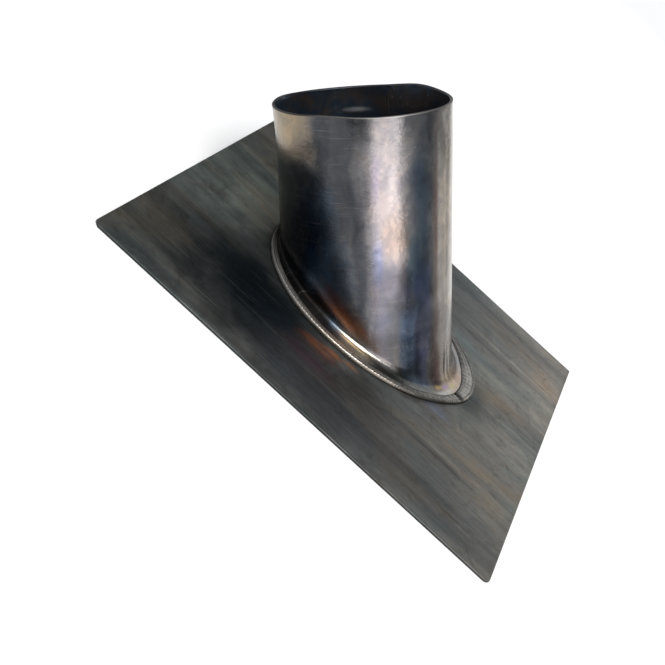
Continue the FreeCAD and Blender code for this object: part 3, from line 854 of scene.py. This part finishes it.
def bead_finish():
    """Grey, freshly frozen lead, with painted highlight on its crests round the heel and painted
    shade in the dips between its ridges, and soot and brown heat tint along both of its edges."""
    f = Finish("burned_lead")
    place = f.place()
    mottle = f.noise(place, 320.0, 6.0, 0.7)
    cloud = f.noise(place, 40.0, 5.0, 0.6, 0.5)
    colour = f.mix(f.spread(cloud, 0.36, 0.64), (0.20, 0.195, 0.185), (0.38, 0.36, 0.33))
    edge = f.math("ABSOLUTE", f.field("across"))
    colour = f.mix(f.spread(edge, 0.74, 0.98, 0.0, 0.85), colour, (0.032, 0.029, 0.026))
    # Painted shade in the dips between the ridges and in the crack.
    colour = f.mix(f.spread(f.field("hollow_shade"), 0.2, 0.9, 0.0, 0.75), colour, (0.050, 0.042, 0.034))
    ends = f.node("CombineXYZ", {"X": f.field("round")}).outputs["Vector"]
    soot = (((-150, 0), (50, 1), (0.06, 0.055, 0.05), 0.75), ((-100, 0), (26, 1), (0.15, 0.12, 0.09), 0.6),
            ((-75, 0), (30, 1), (0.34, 0.30, 0.25), 0.5), ((-38, 0), (20, 1), (0.14, 0.135, 0.12), 0.6))
    colour = f.stained(colour, ends, soot, ragged=0.3)
    # Painted highlight along the crests round the heel.
    colour = f.mix(f.math("MULTIPLY", f.field("crest_highlight"), 0.8), colour, (0.45, 0.44, 0.42))
    toe = f.spot(ends, (12 * MM, 0, 0), (40 * MM, 1, 1.0), 0.2)
    colour = f.mix(f.math("MULTIPLY", toe, 0.8), colour, (0.76, 0.77, 0.78), "MULTIPLY")
    colour = f.mix(f.spread(mottle, 0.5, 0.75, 0.0, 0.5), colour, (0.06, 0.055, 0.05))
    heel = f.spread(f.field("round"), -94 * MM, -112 * MM, 0.0, 0.2)
    roughness = f.math("ADD", f.spread(mottle, 0.3, 0.7, 0.22, 0.42), heel)
    return f.finish(colour, roughness, mottle, depth=0.00012, metallic=0.9)


bead = make_foot_weld()
bead.data.materials.append(bead_finish())
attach(bead, "root")
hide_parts("foot_weld")


# ------------------------------------------------------------- seam weld
# The strip's two ends butt with a narrow gap on the far side, and lead is run into it from
# the rim to the foot: a thin rippled bead proud of the outside and almost flush in the bore.
def make_seam_weld():
    """Rows up the sleeve's own surface at the gap; each section is a low crown across it, a
    neck down through the gap, and a slight belly on the bore's side."""
    half_crown = 3.0 * MM
    turns = np.linspace(-1, 1, 11)
    angle = SEAM + turns * half_crown / OUTER
    surface, normal = outside_surface(angle, flange_steps=14, turn_steps=40, wall_steps=420)
    surface, normal = surface.transpose(1, 0, 2), normal.transpose(1, 0, 2)
    middle, middle_normal = surface[:, 5], normal[:, 5]
    arc = np.concatenate([[0], np.cumsum(np.linalg.norm(np.diff(middle, axis=0), axis=1))])
    phase = arc / (2.2 * MM) + 0.3 * smooth_noise(arc, arc * 0, seed=8, shortest=0.01, longest=0.05)
    ripple = crescents(phase, turns[None, :], bend=0.5)
    swell = (1 - turns ** 2)[None, :] * (0.65 + 0.22 * ripple) * MM
    swell = swell * smooth_step(arc[-1] - arc, 0, 5 * MM)[:, None]
    crown = surface + normal * swell[..., None]
    crosswise = surface[:, -1] - surface[:, 0]
    crosswise /= np.linalg.norm(crosswise, axis=1, keepdims=True)
    neck_across = SEAM_HALF_GAP * np.array([2.2, 1, 1, 1, 0.55, 0, -0.55, -1, -1, -1, -2.2])
    neck_depth = MM * np.array([0.05, 0.1, 0.9, 1.8, 1.95, 2.0, 1.95, 1.8, 0.9, 0.1, 0.05])
    neck = (middle[:, None] + crosswise[:, None] * neck_across[None, :, None]
            - middle_normal[:, None] * neck_depth[None, :, None])
    points = np.concatenate([crown, neck], axis=1)
    piece = solid_from_grid("burned_seam", points, closed_rows=False)
    columns = np.concatenate([angle, np.full(neck_across.size, SEAM)])[None, :]
    bore_side = np.concatenate([np.zeros(angle.size), neck_depth > LEAD / 2])[None, :]
    lead_fields(piece, points, columns, bore_side)
    lip_part = np.zeros(points.shape[0])
    lip_part[-2:] = 1
    add_field(piece, "lip", np.broadcast_to(lip_part[:, None], points.shape[:2]))
    return piece


seam = make_seam_weld()
# The seam takes a copy of the sleeve's finish, painted reflections and all.
seam_material = sleeve.data.materials[0].copy()
seam_material.name = "seam_lead"
seam.data.materials.append(seam_material)
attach(seam, "root")
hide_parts("seam_weld")
